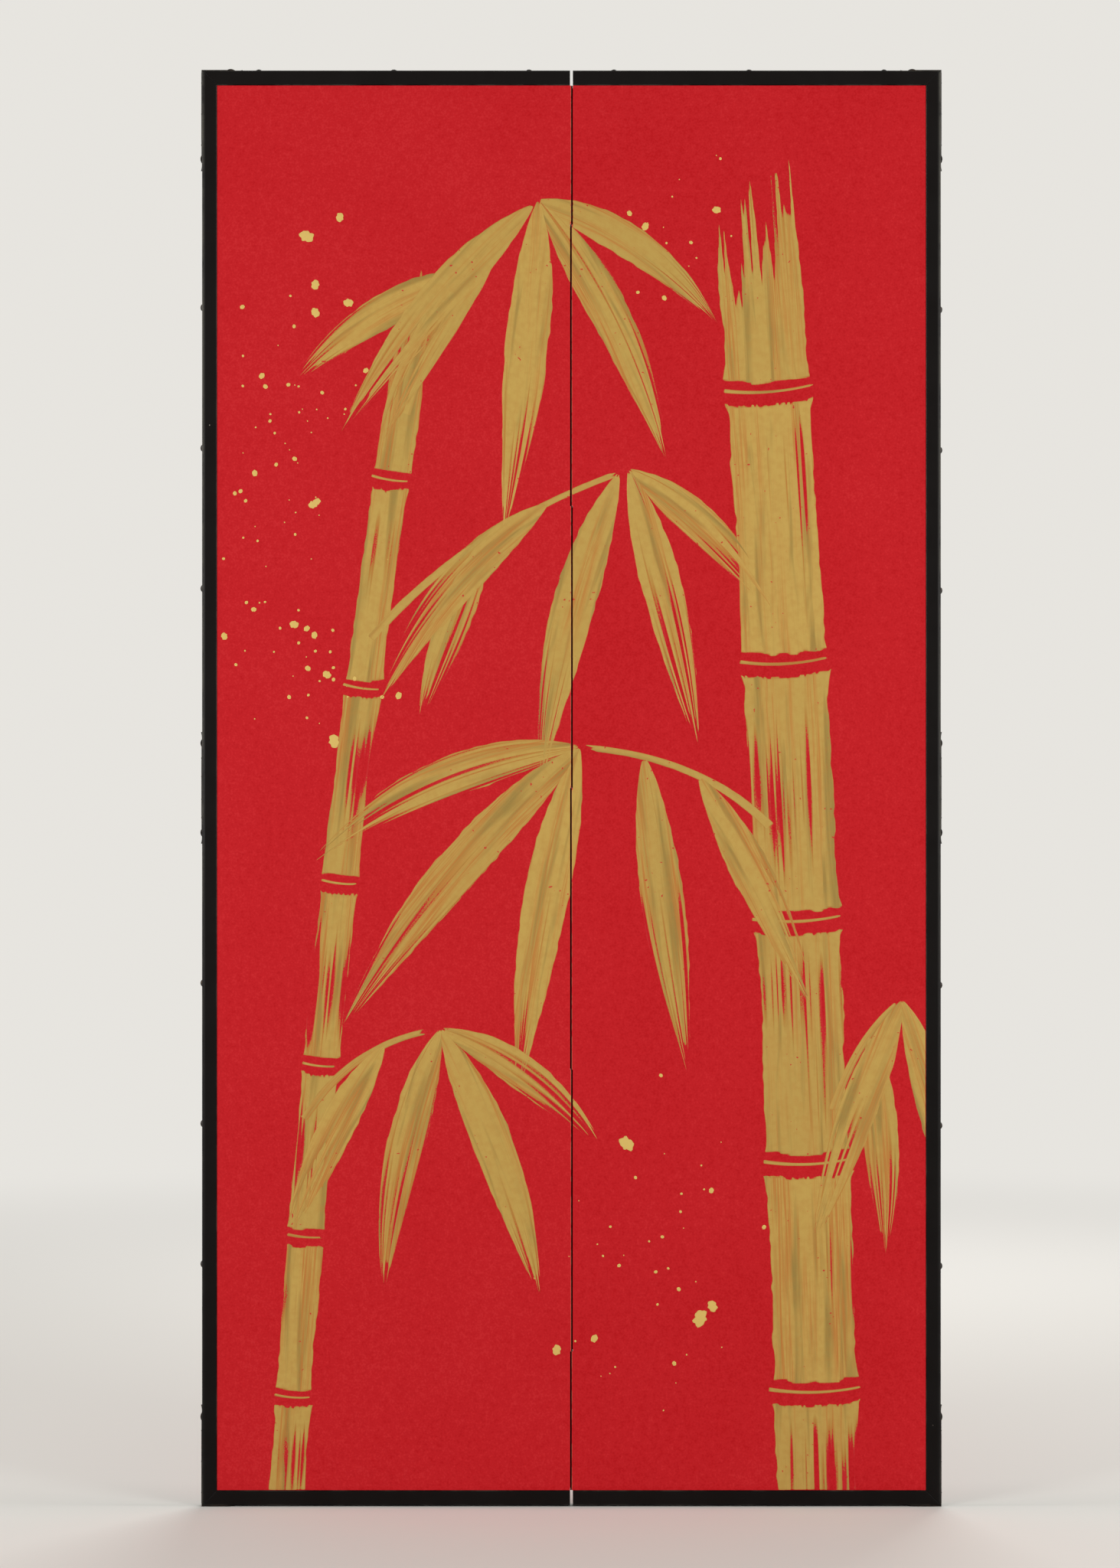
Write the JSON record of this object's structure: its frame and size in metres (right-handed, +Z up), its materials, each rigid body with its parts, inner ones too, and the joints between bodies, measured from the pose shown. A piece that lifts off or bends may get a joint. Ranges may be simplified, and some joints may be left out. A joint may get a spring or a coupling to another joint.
{
  "type": "folding screen",
  "caption": "Tall folding screen: red papered lattice panels in slim black lacquered frames with studs and metal fittings, joined by paper hinges that fold both ways.",
  "frame": {"origin": "on the floor, at the middle of the screen's width and depth, under the slit between the panels", "axes": "+Z up along the hinge, +X to the right seen from the front, -Y out of the front face"},
  "size_m": [0.9104, 0.02, 1.7615],
  "materials": {
    "red_paper": "matte",
    "back_paper": "matte",
    "lining_paper": "matte",
    "hinge_paper": "matte",
    "core_wood": "matte",
    "black_lacquer": "satin",
    "dark_metal": "satin",
    "gold_paint": "matte"
  },
  "bodies": {
    "left_panel": {"left_back_hinge_flaps": "hinge_paper", "left_back_sheet": "back_paper", "left_back_underlay": "lining_paper", "left_bottom_corner_fitting": "dark_metal", "left_bottom_studs": "dark_metal", "left_core_bottom_rail": "core_wood", "left_core_hinge_stile": "core_wood", "left_core_outer_stile": "core_wood", "left_core_top_rail": "core_wood", "left_corner_gussets": "core_wood", "left_edge_paper": "lining_paper", "left_fitting_pins": "dark_metal", "left_frame_bottom_rail": "black_lacquer", "left_frame_outer_stile": "black_lacquer", "left_frame_top_rail": "black_lacquer", "left_front_hinge_flaps": "hinge_paper", "left_front_sheet": "red_paper", "left_front_underlay": "lining_paper", "left_lattice_horizontals": "core_wood", "left_lattice_verticals": "core_wood", "left_side_fitting": "dark_metal", "left_side_studs": "dark_metal", "left_top_corner_fitting": "dark_metal", "left_top_studs": "dark_metal"},
    "odd_strips": {"hinge_strip_1": "hinge_paper", "hinge_strip_3": "hinge_paper", "hinge_strip_5": "hinge_paper"},
    "right_panel": {"right_back_hinge_flaps": "hinge_paper", "right_back_sheet": "back_paper", "right_back_underlay": "lining_paper", "right_bottom_corner_fitting": "dark_metal", "right_bottom_studs": "dark_metal", "right_core_bottom_rail": "core_wood", "right_core_hinge_stile": "core_wood", "right_core_outer_stile": "core_wood", "right_core_top_rail": "core_wood", "right_corner_gussets": "core_wood", "right_edge_paper": "lining_paper", "right_fitting_pins": "dark_metal", "right_frame_bottom_rail": "black_lacquer", "right_frame_outer_stile": "black_lacquer", "right_frame_top_rail": "black_lacquer", "right_front_hinge_flaps": "hinge_paper", "right_front_sheet": "red_paper", "right_front_underlay": "lining_paper", "right_lattice_horizontals": "core_wood", "right_lattice_verticals": "core_wood", "right_side_fitting": "dark_metal", "right_side_studs": "dark_metal", "right_top_corner_fitting": "dark_metal", "right_top_studs": "dark_metal"},
    "even_strips": {"hinge_strip_2": "hinge_paper", "hinge_strip_4": "hinge_paper", "hinge_strip_6": "hinge_paper"}
  },
  "joints": [
    {"name": "fold_forward", "type": "hinge", "parent": "odd_strips", "child": "left_panel", "pos_m": [0, -0.01015, 0.8802], "axis": [0, 0, -1], "range_deg": [-180, 0]},
    {"name": "fold_backward", "type": "hinge", "parent": "odd_strips", "child": "right_panel", "pos_m": [0, 0.01015, 0.8802], "axis": [0, 0, 1], "range_deg": [0, 180]},
    {"name": "even_strips_turn", "type": "hinge", "parent": "left_panel", "child": "even_strips", "pos_m": [0, 0.01015, 0.8802], "axis": [0, 0, 1], "range_deg": [0, 180]}
  ],
  "couplings": [
    {"joint": "even_strips_turn", "follows": "fold_backward", "ratio": 1}
  ]
}
